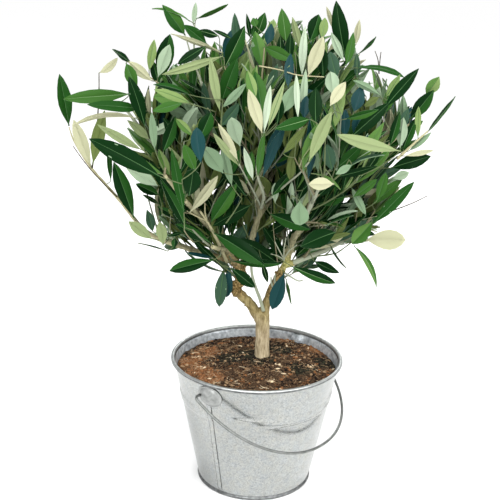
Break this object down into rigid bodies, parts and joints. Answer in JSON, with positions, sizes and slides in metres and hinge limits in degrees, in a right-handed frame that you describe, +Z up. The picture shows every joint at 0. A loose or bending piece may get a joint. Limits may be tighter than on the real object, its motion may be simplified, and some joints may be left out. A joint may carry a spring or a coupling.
{
  "type": "potted olive tree",
  "caption": "Young olive tree with a round crown of narrow leaves, growing in a tapered galvanised bucket with a swinging wire bail.",
  "frame": {"origin": "centre of the bucket's flat underside, where the part stands", "axes": "+Z up, +X to the right and +Y away from the front, seen with the front ear at the left of the front"},
  "size_m": [0.3441, 0.2962, 0.4389],
  "materials": {
    "galvanised": "hot-dip galvanised sheet steel, pale grey with faint spangle, satin",
    "bail_wire": "drawn galvanised steel wire, darker grey, satin",
    "peat": null,
    "bark": "smooth young bark, pale beige with fine fissures, greener towards the boughs",
    "leaves": "leathery leaves, glossy dark green above, silver grey-green below"
  },
  "bodies": {
    "pot_and_tree": {"bucket": "galvanised", "ear_front": "galvanised", "ear_back": "galvanised", "soil": "peat", "trunk": "bark", "main_left": "bark", "main_right": "bark", "main_centre": "bark", "bough_low_left": "bark", "bough_low_front": "bark", "bough_low_right": "bark", "bough_low_back": "bark", "bough_left": "bark", "bough_front_left": "bark", "bough_front_right": "bark", "bough_right": "bark", "bough_back_right": "bark", "bough_back_left": "bark", "bough_top_left": "bark", "bough_top_front": "bark", "bough_top_right": "bark", "bough_top_back": "bark", "foliage_low_left": "leaves", "foliage_low_front": "leaves", "foliage_low_right": "leaves", "foliage_low_back": "leaves", "foliage_left": "leaves", "foliage_front_left": "leaves", "foliage_front_right": "leaves", "foliage_right": "leaves", "foliage_back_right": "leaves", "foliage_back_left": "leaves", "foliage_top_left": "leaves", "foliage_top_front": "leaves", "foliage_top_right": "leaves", "foliage_top_back": "leaves", "sprig_left": "leaves", "sprig_right": "leaves"},
    "bail": {"bail": "bail_wire"}
  },
  "joints": [
    {"name": "bail_swing", "type": "hinge", "parent": "pot_and_tree", "child": "bail", "pos_m": [0, 0, 0.108], "axis": [-0.6334, -0.7738, 0], "range_deg": [-15, 85]}
  ]
}
